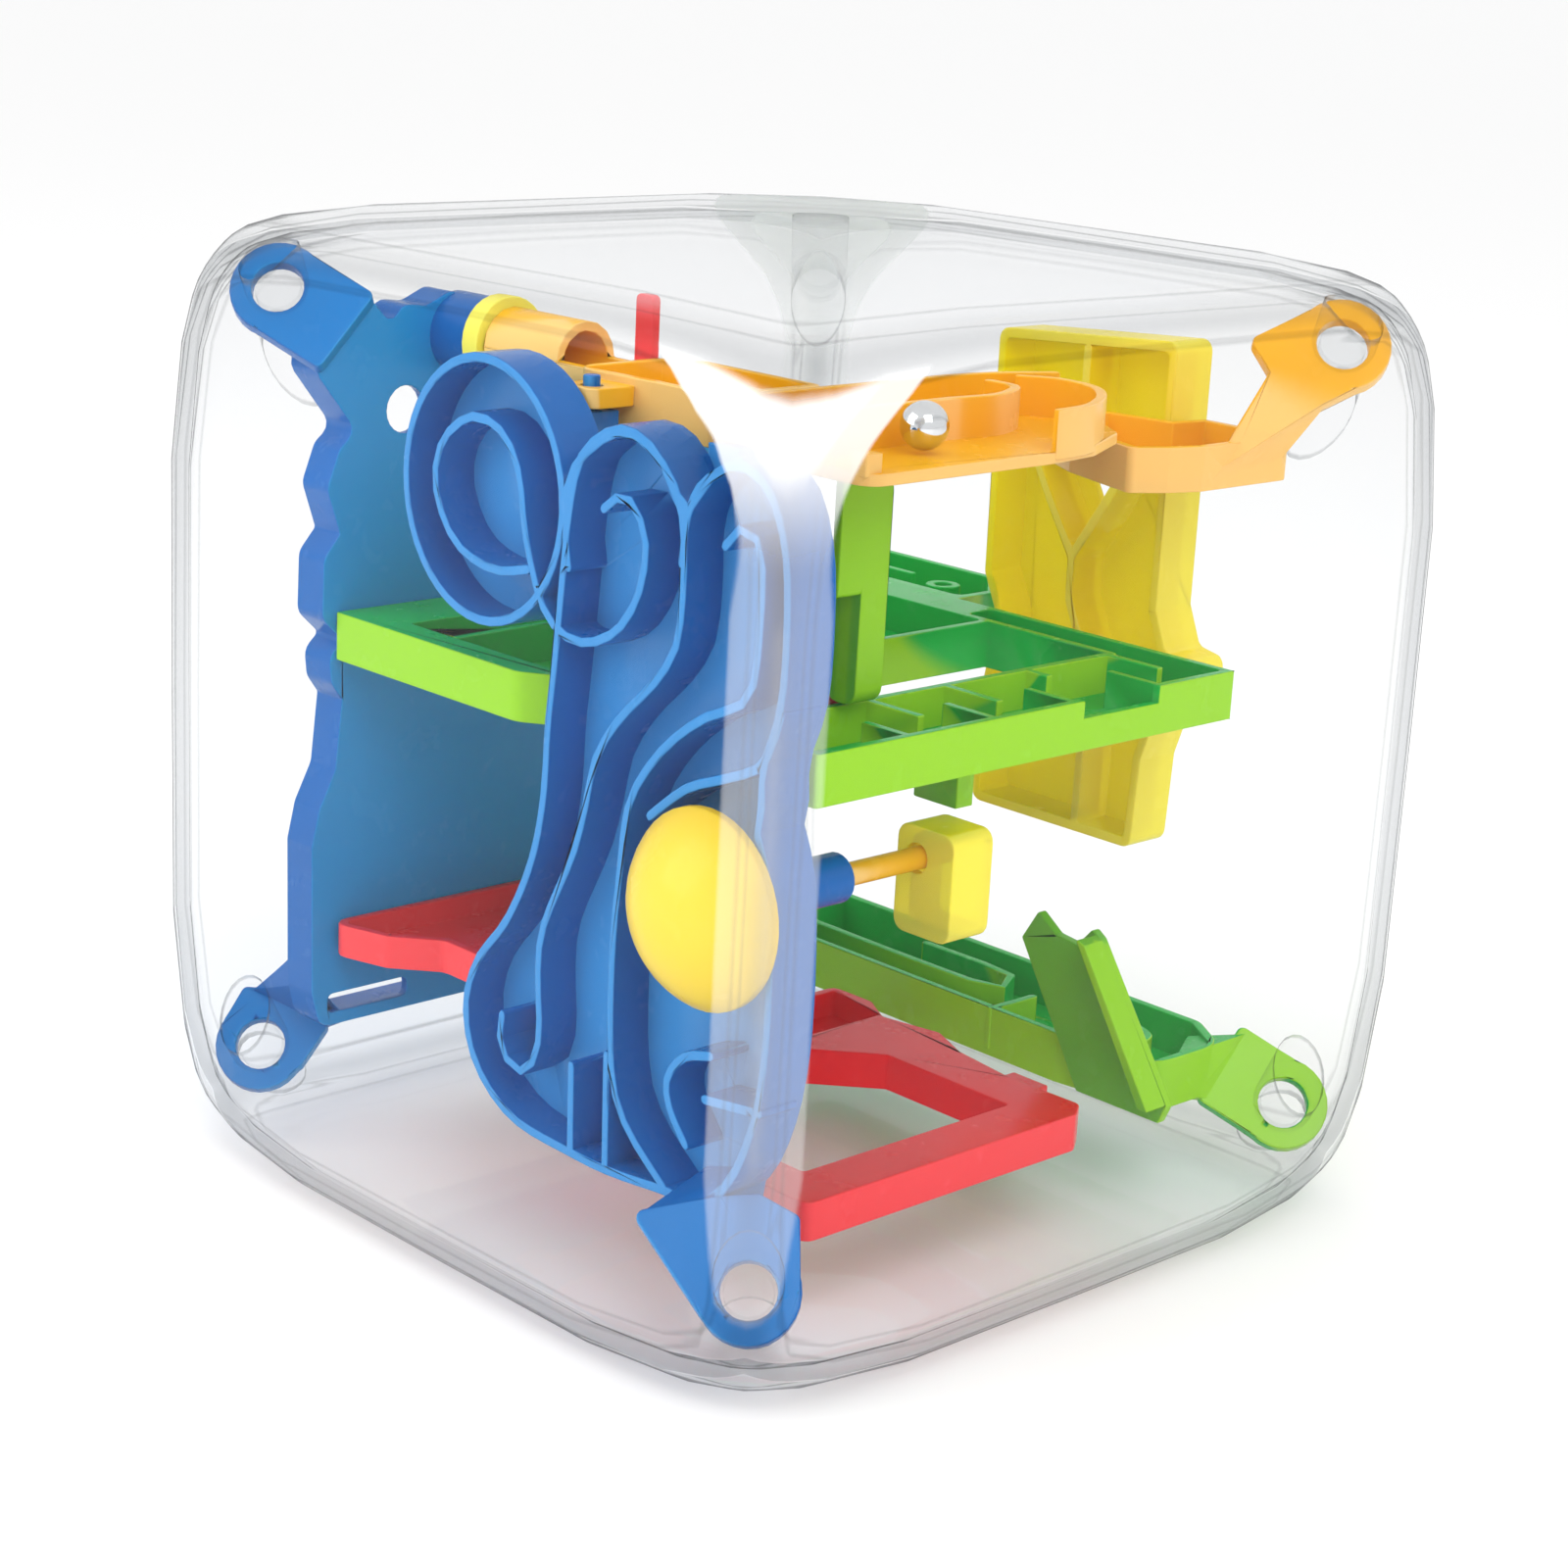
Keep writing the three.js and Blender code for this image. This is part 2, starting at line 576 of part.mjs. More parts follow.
function makeWheel() {
  const profile = [];
  const ball = (WHEEL.radius ** 2 + WHEEL.dome ** 2) / (2 * WHEEL.dome);
  const shellThick = 1.5;
  const steps = 9;
  const angle = Math.asin(WHEEL.radius / ball);
  const back = SWIRL_FRONT - GAP;
  const rimFront = back - 1.2;
  const front = rimFront - WHEEL.dome;
  for (let k = 0; k <= steps; k++) {
    const a = (angle * k) / steps;
    profile.push([ball * Math.sin(a), front + ball * (1 - Math.cos(a))]);
  }
  profile.push([WHEEL.radius, back]);
  profile.push([WHEEL.radius - shellThick, back]);
  for (let k = steps - 1; k >= 2; k--) {
    const a = (angle * k) / steps;
    const inner = ball - shellThick;
    profile.push([inner * Math.sin(a), front + shellThick + inner * (1 - Math.cos(a))]);
  }
  profile.push([3.2, back]);
  profile.push([0, back]);
  const lathe = new THREE.LatheGeometry(profile.map(([r, y]) => new THREE.Vector2(r, y)), 40);
  lathe.translate(WHEEL.x, 0, WHEEL.z + RISE);
  const level = WHEEL.z + RISE;
  addPiece("dome_wheel", solidOf(lathe), YELLOW, level);
  addPiece("wheel_axle", rod("y", back + GAP, -10.5, WHEEL.x, WHEEL.z, AXLE_RADIUS, 16), ORANGE, level);
  const bore = circle(WHEEL.x, WHEEL.z, AXLE_HOLE, 20);
  const sleeve = slab("y", SWIRL_BACK + GAP, -30, circle(WHEEL.x, WHEEL.z, 3.2), [bore]);
  addPiece("hub_sleeve", sleeve, BLUE, level);
}

const AXLE_BLOCK = { x: [37.6, 47.4], y: [-16.2, -9], z: [-17.6, -4] };

function makeAxleBlock() {
  const { x, y, z } = AXLE_BLOCK;
  const outline = [[x[0], z[0]], [x[1], z[0]], [x[1], z[1]], [x[0], z[1]]];
  const body = slab("y", y[0], y[1], rounded(outline, 1.8));
  const hollow = slab("y", y[0] + SHEET, y[1] + 1, rounded(inset(outline, SHEET), 0.8));
  const bore = rod("y", y[0] - 1, y[0] + 3, WHEEL.x, WHEEL.z, AXLE_HOLE);
  addPiece("axle_block", cut(body, hollow, bore), YELLOW);
}

// ---------------------------------------------------------------- yellow and orange pieces

function makeHalfPipe() {
  const [y, z] = [-26.6, 45.2];
  const ring = slab("x", -32.8, -29.6, circle(y, z, 6, 28), [circle(y, z, 3.9, 24)]);
  addPiece("tube_ring", ring, YELLOW);
  // Half a ring in (y, z), from one angle on, with its centre lowered a little.
  const halfRing = (start, drop, steps) => {
    const arc = (radius) =>
      Array.from({ length: steps + 1 }, (_, k) => {
        const angle = start + (Math.PI * k) / steps;
        return [y + radius * Math.cos(angle), z + radius * Math.sin(angle) - drop];
      });
    return [...arc(5), ...arc(3.7).reverse()];
  };
  const trough = halfRing(Math.PI, 0, 12);
  const crown = halfRing(0, 0.2, 8);
  const pipe = join(slab("x", -29.3, -5.4, trough), slab("x", -29.3, -14, crown));
  addPiece("half_pipe", pipe, ORANGE);
}

function makeTopTray() {
  const left = [[-4.6, -37.2, 4], [10, -36.2], [22, -36.2], [22, -18], [0, -18], [-4.8, -22]];
  const lug = (x) => rounded([[x - 3.4, -43.4], [x + 3.4, -43.4], [x + 3.4, -35.8], [x - 3.4, -35.8]], 1.6);
  const lugs = [4.2, 32.2].map((x) =>
    slab("z", 43, 45.4, lug(x), [circle(x, LUG_Y, 1.5, 14)]),
  );
  const divider = wallAlong("z", TOP.low + 1, TOP.high, [[8, -28], [15, -28], [21, -28]]);
  addPiece("top_tray_left", join(tray("z", TOP.low, TOP.high, left), divider, lugs[0]), ORANGE);
  const plan = [[22.3, -37.6], [50.2, -37.6], [49.4, -5], [48, 4], [43, 14], [34, 20], [24, 20], [22.3, 10]];
  const floor = slab("z", TOP.low, TOP.low + SHEET, rounded(plan, 3));
  const walls = [
    [[36.5, -36.9], [36.5, -25], [36.2, -10]],
    [[49, -4.4], [48, 2], [44, 9], [38, 14.5], [31, 15.5], [27, 12.5]],
    [[36.2, -10], [36.6, -2], [33, 5], [28, 5.6]],
    [[22.9, -37], [22.9, -10], [22.9, 8], [27, 19.2]],
  ].map((points) => wallAlong("z", TOP.low + 0.5, TOP.high, points, SHEET, 14));
  const linkPlan = rounded([[22.3, -37.6], [37, -37.6], [37, -36.2], [22.3, -36.2]], 0.4);
  const link = slab("z", 43, TOP.high, linkPlan);
  const stop = box([46.8, -37.4, TOP.low + 1], [49.2, -34.6, TOP.low + 3.6]);
  addPiece("top_tray_right", join(floor, ...walls, link, stop, lugs[1]), ORANGE);
}

function makeCornerTray() {
  const plan = [
    [22, 24.5], [30, 20], [44.2, 15.2], [46.8, 20], [48.4, 25], [48.4, 43], [33.4, 43.4], [32.4, 37.6],
    [22, 36],
  ];
  const body = tray("z", CORNER_TRAY.low, CORNER_TRAY.high, plan, 1.2);
  const signs = [1, 1, 1];
  const plate = cornerPlate(signs, [[0, -6.2], [10.6, -6.2], [10.6, 6.2], [0, 6.2]]);
  const gusset = hullOf([
    ...plateEdge(signs, [[6.6, 6.2], [10.6, 6.2], [10.6, -1]]),
    at(48.1, 28, CORNER_TRAY.low + 2.3),
    at(48.1, 41, CORNER_TRAY.low + 2.3),
    at(47.2, 28, CORNER_TRAY.low + 2.3),
    at(47.2, 41, CORNER_TRAY.low + 2.3),
  ]);
  addPiece("corner_tray", cut(join(body, plate, gusset), postRoom(signs)), ORANGE);
}

// Back panel in (x, z): wavy sides, open towards -Y, with a Y shaped rib.
const BACK_PANEL = { front: 38.2, back: 45.8 };
const BACK_OUTLINE = [
  [0, -18.4], [30.6, -18.4], [31.2, -6], [33.8, 2], [38.4, 4.6], [38.4, 8.6], [34, 9.4], [31.8, 14.5],
  [31.8, 33.4], [31.8, 49.6], [-0.6, 47.6], [-0.4, 14], [2.4, 8.4], [0.4, -3],
];

function makeBackPanel() {
  const { front, back } = BACK_PANEL;
  const body = slab("y", front, back, rounded(BACK_OUTLINE, 1.6));
  const hollow = slab("y", front - 1, back - SHEET, rounded(inset(BACK_OUTLINE, SHEET), 0.8));
  const rib = (points) => wallAlong("y", front, back - 1, points, SHEET, 6);
  const ribs = [
    rib([[7.4, 32], [11, 26], [15.8, 19]]),
    rib([[24, 31.6], [20.5, 26], [15.8, 19]]),
    rib([[15.8, 19.4], [16, 12.4], [18.2, 8.4], [20, 2], [20, -17.6]]),
    rib([[0, 32.2], [12, 32.4], [31.4, 32.2]]),
    rib([[16, 32], [16, 47]]),
  ];
  const window = slab("y", back - 3, back + 1, [[12.2, 30.6], [19.6, 30.6], [15.9, 24.2]]);
  addPiece("back_panel", cut(join(cut(body, hollow), ...ribs), window), YELLOW);
}

// ---------------------------------------------------------------- green pieces

function makeMidTray() {
  const plan = [
    [-40.2, -47.3, 0.6], [-1, -47.3, 4], [4.2, -43.6, 3], [8, -42.6, 0], [49.3, -42.6, 0.6],
    [49.3, 34.5, 0.6], [-1.6, 34.5, 0], [-1.6, 43, 3], [-9, 50.5, 3], [-34, 50.5], [-40.2, 40],
  ];
  const opening = [[11.2, -33], [32.6, -33], [32.6, 27], [11.2, 27]];
  const floorTop = MID.low + SHEET;
  const cutter = (points, radius = 0.8) => slab("z", floorTop, MID.high + 1, rounded(points, radius));
  const pockets = [
    cutter([[34, -41.2], [47.9, -41.2], [47.9, 33.1], [6, 33.1], [6, 28.4], [34, 28.4]]),
    cutter([[-29.6, -42.6], [1.8, -42.6], [9.8, -36], [9.8, 27], [-29.6, 27]]),
    cutter([[9, -41.2], [32.6, -41.2], [32.6, -34.4], [11.4, -34.4]]),
    cutter([[-33, 36], [-3, 36], [-3, 42], [-9.6, 49.1], [-33, 49.1]], 1.6),
  ];
  const body = slab("z", MID.low, MID.high, rounded(plan, 1.5), [opening]);
  const baffle = (x0, x1, y) => box([x0, y - 0.6, floorTop - 0.2], [x1, y + 0.6, MID.high]);
  const inner = [[-18.9, 43], [-4.9, 43.2], [10.6, 37.6], [26.8, 42.7]].map(([y, x]) => baffle(33.6, x, y));
  const outer = [[-26.8, 41], [-11.6, 40], [3.1, 40.3], [19.7, 39.8]].map(([y, x]) => baffle(x, 48.4, y));
  const ribs = [
    wallAlong("z", floorTop - 0.2, MID.high, [[-29.6, 12], [-12, 12], [-2, 4], [-2, -8]], SHEET, 12),
    wallAlong("z", floorTop - 0.2, MID.high, [[-20, -42], [-20, -24], [-12, -16], [2, -16]], SHEET, 12),
    wallAlong("z", floorTop - 0.2, MID.high, [[-32.6, 41.4], [-18, 41.4]], SHEET, 3),
  ];
  const boss = cut(
    rod("z", floorTop - 0.2, MID.high - 0.6, -11.8, 41.8, 2.6, 18),
    rod("z", floorTop + 2, MID.high + 1, -11.8, 41.8, 1.3, 12),
  );
  const notch = box([47.2, 4.4, MID.high - 2.2], [50, 19, MID.high + 1]);
  const stub = box([33.4, -9.4, -3], [41, -6.4, MID.low + 0.2]);
  const whole = join(cut(body, ...pockets), ...inner, ...outer, ...ribs, boss, stub);
  addPiece("mid_tray", cut(whole, notch), GREEN);
}

function makePost() {
  const blade = slab("y", -25.6, -21, rounded([[32.6, 11.2], [38, 11.2], [38, 39.7], [32.6, 39.7]], 2));
  const flare = slab("y", -29.6, -21, rounded([[36.6, 24.6], [38, 24.6], [38, 39.7], [36.6, 39.7]], 0.5));
  addPiece("green_post", join(blade, flare), LIME);
}

function makeBaseTray() {
  const plan = [
    [-38, 30], [27, 30], [34, 31], [43.6, 31, 6], [43.6, 46, 6], [36, 51, 4], [28, 51], [-38, 51],
  ];
  const body = tray("z", BASE.low, BASE.high, plan, 2);
  const ribs = [
    [[-38, 36.8], [4.5, 36.8], [7.6, 40], [4.7, 43.6], [-12, 43.6]],
    [[14, 30.4], [14.2, 35], [14.2, 39]],
    [[30, 42.6], [35, 40.4], [36, 36.6]],
  ].map((points) => wallAlong("z", BASE.low + 1, BASE.high, points, SHEET, 12));
  const signs = [1, 1, -1];
  const plate = cornerPlate(signs, [[0, -6.2], [10.6, -6.2], [10.6, 6.2], [0, 6.2]]);
  const web = hullOf([
    ...plateEdge(signs, [[9.4, -5.4], [9.4, 5.4]]),
    at(42, 38, BASE.low + 0.6),
    at(37, 47, BASE.low + 0.6),
    at(42, 38, BASE.high - 1),
    at(37, 47, BASE.high - 1),
  ]);
  addPiece("base_tray", cut(join(body, ...ribs, web, plate), postRoom(signs)), GREEN);
}

function makeFence() {
  const outline = [
    [32.8, -50.2], [20.6, -31.6], [23.4, -27.2], [27, -29.6], [30.8, -30], [33.4, -27.2], [35, -28.2],
    [49, -47.6], [47.8, -50.2],
  ];
  const face = slab("y", 28.2, 29.7, rounded(outline, 0.4, 2));
  const slopeOutline = [[33.6, -27.6], [35.4, -28.2], [49, -47.6], [47, -47.6]];
  const slope = slab("y", 24.4, 28.4, rounded(slopeOutline, 0.2, 2));
  addPiece("saw_fence", join(face, slope), LIME);
}

// ---------------------------------------------------------------- red pieces

function makeRedFrame() {
  const outer = [
    [46, -37], [46, 13], [43.6, 16.4], [31, 16], [20, 17.6], [13, 20.8], [3.4, 18.8], [-2, 22], [-10, 22],
    [-10, -37],
  ];
  const opening = [[38, -30], [38, 8.2], [15, 8.2], [4, -2], [4, -30]];
  const body = slab("z", RED.low, RED.high, rounded(outer, 1.6), [rounded(opening, 0.6)]);
  const channel = slab(
    "z",
    RED.low + SHEET,
    RED.high + 1,
    rounded([[-8.6, -35.6], [2.6, -35.6], [2.6, 19], [-8.6, 20.6]], 0.6),
  );
  const tab = box([28.6, 15, RED.low], [35, 19.6, RED.high - 0.8]);
  addPiece("red_frame", join(cut(body, channel), tab), RED_PLASTIC);
}

function makeRedLeftTray() {
  const plan = [[-39.9, -48.4], [-30, -45.4], [-24, -40], [-16, -40], [-12, -34], [-12, -8], [-39.9, -8]];
  const body = tray("z", -35.8, -31.4, plan, 2.4);
  const stub = box([-24, -14, -32.4], [-20, -8.2, -26.4]);
  addPiece("red_left_tray", join(body, stub), RED_PLASTIC);
}

function makeRedClips() {
  const clip = rounded([[24.2, -24], [32.3, -24], [32.3, -19], [24.2, -19]], 0.8);
  addPiece("red_clip", slab("z", 6.9, 13.4, clip), RED_PLASTIC);
  const flag = rounded([[-10.6, 43], [-7.2, 43], [-7.2, 53.6], [-10.6, 53.6]], 0.8);
  addPiece("red_flag", slab("y", -21.3, -19.9, flag), RED_PLASTIC);
}

// ---------------------------------------------------------------- ball

function makeBall() {
  const level = TOP.low + SHEET + GAP + BALL_RADIUS + RISE;
  const ball = new THREE.SphereGeometry(BALL_RADIUS, 20, 14).translate(42.6, -21.2, level);
  addPiece("steel_ball", solidOf(ball), STEEL, level);
}

makeCase();
makeSwirlPanel();
makeCornerPanel();
makeWheel();
makeAxleBlock();
makeHalfPipe();
makeTopTray();
makeCornerTray();
makeBackPanel();
makeMidTray();
makePost();
makeBaseTray();
makeFence();
makeRedFrame();
makeRedLeftTray();
makeRedClips();
makeBall();

export default group;
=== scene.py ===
import json
from math import cos, radians, sin

import bmesh
import bpy
from mathutils import Matrix, Vector


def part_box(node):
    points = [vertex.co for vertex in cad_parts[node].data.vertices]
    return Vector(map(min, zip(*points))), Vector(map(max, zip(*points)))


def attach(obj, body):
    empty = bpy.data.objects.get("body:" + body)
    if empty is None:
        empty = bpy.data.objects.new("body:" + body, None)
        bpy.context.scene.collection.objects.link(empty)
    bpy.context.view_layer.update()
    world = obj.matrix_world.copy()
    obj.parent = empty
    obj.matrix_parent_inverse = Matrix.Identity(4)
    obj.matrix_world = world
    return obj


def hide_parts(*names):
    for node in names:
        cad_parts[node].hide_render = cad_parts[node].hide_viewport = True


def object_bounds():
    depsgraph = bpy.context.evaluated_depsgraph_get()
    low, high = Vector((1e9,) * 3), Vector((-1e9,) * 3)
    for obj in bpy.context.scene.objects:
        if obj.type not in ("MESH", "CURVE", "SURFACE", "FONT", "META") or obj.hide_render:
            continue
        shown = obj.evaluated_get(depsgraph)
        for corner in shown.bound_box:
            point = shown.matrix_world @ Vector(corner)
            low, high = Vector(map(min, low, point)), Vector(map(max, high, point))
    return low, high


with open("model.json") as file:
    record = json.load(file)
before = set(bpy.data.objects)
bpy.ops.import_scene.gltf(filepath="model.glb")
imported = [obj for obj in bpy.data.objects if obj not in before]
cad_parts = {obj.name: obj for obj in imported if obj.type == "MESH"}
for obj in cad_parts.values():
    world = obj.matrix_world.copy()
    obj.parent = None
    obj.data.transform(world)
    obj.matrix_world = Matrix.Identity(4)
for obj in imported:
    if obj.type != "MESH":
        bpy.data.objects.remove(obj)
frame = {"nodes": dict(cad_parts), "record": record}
cad_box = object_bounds()
NODES = frame["nodes"]
BODY_OF = {node: body for body, nodes in frame["record"]["behaviour"]["bodies"].items() for node in nodes}

MM = 0.001
CASE_LOW, CASE_HIGH = (Vector(corner) for corner in cad_box)
FLOOR_REACH = 12
FLOOR_GAP = 0.02 * MM

# Bevels of the moulded edges, in metres.
EDGE_WIDTH = 0.2 * MM
CASE_EDGE_WIDTH = 0.15 * MM
EDGE_ANGLE = radians(32)
MERGE_DISTANCE = 0.001 * MM

# The case's plastic: the tint of a wall's face, the painted grey shade of its rounded edges, the painted
# dark shade of a glancing wall, and the colour of the dark seam along the parting line, also used for
# painted shade lines along its edges.
CASE_CLEAR = (0.98, 0.982, 0.984)
CASE_ROUNDED_SHADE = (0.86, 0.865, 0.87)
CASE_GLANCE_SHADE = (0.12, 0.125, 0.13)
CASE_SEAM_AND_SHADE_LINE = (0.45, 0.455, 0.46)
PARTING_NORMAL = (0.5774, -0.5774, 0.5774)
# The outer face's rounding, the sphere that takes its corners off and their blend, the depth down to which
# a surface counts as the wall's, and the share of painted grey shade and of gloss left on the posts further
# in.
CASE_ROUNDING = 8 * MM
CASE_SPHERE = 98.5 * MM
CASE_BLEND = 15 * MM
SHELL_DEPTH = 2.7 * MM
SHELL_FADE = 0.7 * MM
POST_SHARE = 0.08

# The painted reflection, a white strip painted along the middle upright edge of each half: its share low
# down and at the top corner, how far it reaches onto the faces, and how much further at the very top.
REFLECTION_STRIP_COLOUR = (0.97, 0.965, 0.97)
REFLECTION_STRIP_LOW = 0.2
REFLECTION_STRIP_HIGH = 0.66
REFLECTION_STRIP_REACH = 8.4 * MM
REFLECTION_STRIP_FLARE = 27 * MM
REFLECTION_STRIP_FLARE_FROM = 37 * MM

# ---------------------------------------------------------------- shader building


def new_material(name):
    material = bpy.data.materials.new(name)
    material.use_nodes = True
    tree = material.node_tree
    tree.nodes.clear()
    return material, tree


def add(tree, kind, **settings):
    node = tree.nodes.new(kind)
    for key, value in settings.items():
        setattr(node, key, value)
    return node


def math(tree, operation, first, second=None):
    node = add(tree, "ShaderNodeMath", operation=operation)
    for socket, value in zip(node.inputs, (first, second)):
        if value is None:
            continue
        if isinstance(value, (int, float)):
            socket.default_value = value
        else:
            tree.links.new(value, socket)
    return node.outputs[0]


def remap(tree, value, low, high, to_low=0.0, to_high=1.0, smooth=True):
    """value from low..high to to_low..to_high, held outside that range."""
    node = add(tree, "ShaderNodeMapRange", interpolation_type="SMOOTHSTEP" if smooth else "LINEAR")
    tree.links.new(value, node.inputs["Value"])
    for name, number in (("From Min", low), ("From Max", high), ("To Min", to_low), ("To Max", to_high)):
        node.inputs[name].default_value = number
    return node.outputs["Result"]


def mix_colour(tree, factor, first, second):
    node = add(tree, "ShaderNodeMix", data_type="RGBA")
    tree.links.new(factor, node.inputs["Factor"])
    colours = [socket for socket in node.inputs if socket.type == "RGBA"]
    for socket, value in zip(colours, (first, second)):
        if isinstance(value, tuple):
            socket.default_value = (*value, 1)
        else:
            tree.links.new(value, socket)
    return [socket for socket in node.outputs if socket.type == "RGBA"][0]


def place_in_object(tree):
    return add(tree, "ShaderNodeTexCoord").outputs["Object"]


def noise(tree, scale, detail=3.0, roughness=0.55):
    """Noise in the object's own metres."""
    node = add(tree, "ShaderNodeTexNoise")
    tree.links.new(place_in_object(tree), node.inputs["Vector"])
    node.inputs["Scale"].default_value = scale
    node.inputs["Detail"].default_value = detail
    node.inputs["Roughness"].default_value = roughness
    return node.outputs["Fac"]


def bump(tree, height, strength, distance):
    node = add(tree, "ShaderNodeBump")
    tree.links.new(height, node.inputs["Height"])
    node.inputs["Strength"].default_value = strength
    node.inputs["Distance"].default_value = distance
    return node.outputs["Normal"]


def dot(tree, first, second):
    node = add(tree, "ShaderNodeVectorMath", operation="DOT_PRODUCT")
    for socket, value in zip(node.inputs, (first, second)):
        if isinstance(value, tuple):
            socket.default_value = value
        else:
            tree.links.new(value, socket)
    return node.outputs["Value"]


def object_normal(tree):
    return add(tree, "ShaderNodeTexCoord").outputs["Normal"]


# ---------------------------------------------------------------- where painted light makes a piece paler


def outward(centre):
    """A factor that is 1 on upright faces that look away from the middle of the piece; painted light goes
    there.
    """

    def build(tree):
        away = add(tree, "ShaderNodeVectorMath", operation="SUBTRACT")
        tree.links.new(place_in_object(tree), away.inputs[0])
        away.inputs[1].default_value = centre
        level = add(tree, "ShaderNodeVectorMath", operation="MULTIPLY")
        tree.links.new(away.outputs[0], level.inputs[0])
        level.inputs[1].default_value = (1, 1, 0)
        unit = add(tree, "ShaderNodeVectorMath", operation="NORMALIZE")
        tree.links.new(level.outputs[0], unit.inputs[0])
        return remap(tree, dot(tree, object_normal(tree), unit.outputs[0]), 0.1, 0.4)

    return build


def facing(axis):
    """A factor that is 1 on faces that look along the axis, either way; painted light goes there."""

    def build(tree):
        return remap(tree, math(tree, "ABSOLUTE", dot(tree, object_normal(tree), axis)), 0.3, 0.95)

    return build


# ---------------------------------------------------------------- plastics


def plastic(name, face, lit_colour, lit_factor, roughness=0.24, clear=0.0, tint=None):
    """Moulded gloss plastic: face colour, a paler copy of it painted where light falls on the faces the
    factor picks (painted light), faint mottling, and grain in the gloss.
    clear is the share of light that passes straight through a wall, in the colour tint."""
    material, tree = new_material(name)
    shader = add(tree, "ShaderNodeBsdfPrincipled")
    flow = remap(tree, noise(tree, 38, 4), 0.3, 0.7, smooth=False)
    deep = tuple(0.86 * c for c in face)
    body = mix_colour(tree, flow, deep, face)
    # painted light: the second colour is a lit copy of the first, laid on by face direction
    colour = mix_colour(tree, lit_factor(tree), body, lit_colour)
    tree.links.new(colour, shader.inputs["Base Color"])
    gloss = remap(tree, noise(tree, 220, 5), 0.3, 0.7, roughness - 0.05, roughness + 0.06, smooth=False)
    tree.links.new(gloss, shader.inputs["Roughness"])
    grain = math(tree, "ADD", noise(tree, 900, 2), math(tree, "MULTIPLY", noise(tree, 90, 2), 0.6))
    tree.links.new(bump(tree, grain, 0.05, 0.05 * MM), shader.inputs["Normal"])
    shader.inputs["Specular IOR Level"].default_value = 0.16
    shader.inputs["Coat Weight"].default_value = 0.06
    shader.inputs["Coat Roughness"].default_value = 0.06
    surface = shader.outputs[0]
    if clear:
        through = add(tree, "ShaderNodeBsdfTransparent")
        through.inputs["Color"].default_value = (*tint, 1)
        rim = add(tree, "ShaderNodeLayerWeight")
        rim.inputs["Blend"].default_value = 0.35
        share = remap(tree, rim.outputs["Facing"], 0.0, 0.9, clear, clear * 0.35)
        blend = add(tree, "ShaderNodeMixShader")
        tree.links.new(share, blend.inputs["Fac"])
        tree.links.new(surface, blend.inputs[1])
        tree.links.new(through.outputs[0], blend.inputs[2])
        surface = blend.outputs[0]
    out = add(tree, "ShaderNodeOutputMaterial")
    tree.links.new(surface, out.inputs["Surface"])
    return material


def line_at(tree, value, place, half_width):
    """A factor that is 1 where value is at place and falls to 0 at half_width from it."""
    off = math(tree, "ABSOLUTE", math(tree, "SUBTRACT", value, place))
    return remap(tree, off, 0, half_width, 1, 0)


def largest_part(tree, vector):
    """The largest of a vector's three sizes along x, y and z."""
    split = add(tree, "ShaderNodeSeparateXYZ")
    tree.links.new(vector, split.inputs[0])
    across, along, up = (math(tree, "ABSOLUTE", socket) for socket in split.outputs)
    return math(tree, "MAXIMUM", math(tree, "MAXIMUM", across, along), up)


def vector(tree, operation, first, second=None):
    """A vector made from another one and a fixed one."""
    node = add(tree, "ShaderNodeVectorMath", operation=operation)
    tree.links.new(first, node.inputs[0])
    if second:
        node.inputs[1].default_value = second
    return node.outputs["Vector"]


def length(tree, first):
    node = add(tree, "ShaderNodeVectorMath", operation="LENGTH")
    tree.links.new(first, node.inputs[0])
    return node.outputs["Value"]


def shell_share(tree):
    """1 in the case's outer wall and POST_SHARE on the posts inside it: the outer face is taken as a cube
    with rounded edges whose corners a sphere takes off."""
    core = CASE_HIGH.x - CASE_ROUNDING
    place = vector(tree, "MULTIPLY", place_in_object(tree), (1, 1, CASE_HIGH.x / CASE_HIGH.z))
    past = vector(tree, "SUBTRACT", vector(tree, "ABSOLUTE", place), (core, core, core))
    past_cube = length(tree, vector(tree, "MAXIMUM", past, (0, 0, 0)))
    from_cube = math(tree, "SUBTRACT", past_cube, CASE_ROUNDING)
    from_sphere = math(tree, "SUBTRACT", length(tree, place), CASE_SPHERE)
    blend = add(tree, "ShaderNodeMath", operation="SMOOTH_MAX")
    tree.links.new(from_cube, blend.inputs[0])
    tree.links.new(from_sphere, blend.inputs[1])
    blend.inputs[2].default_value = CASE_BLEND
    return remap(tree, blend.outputs[0], -SHELL_DEPTH - SHELL_FADE, -SHELL_DEPTH, POST_SHARE, 1)


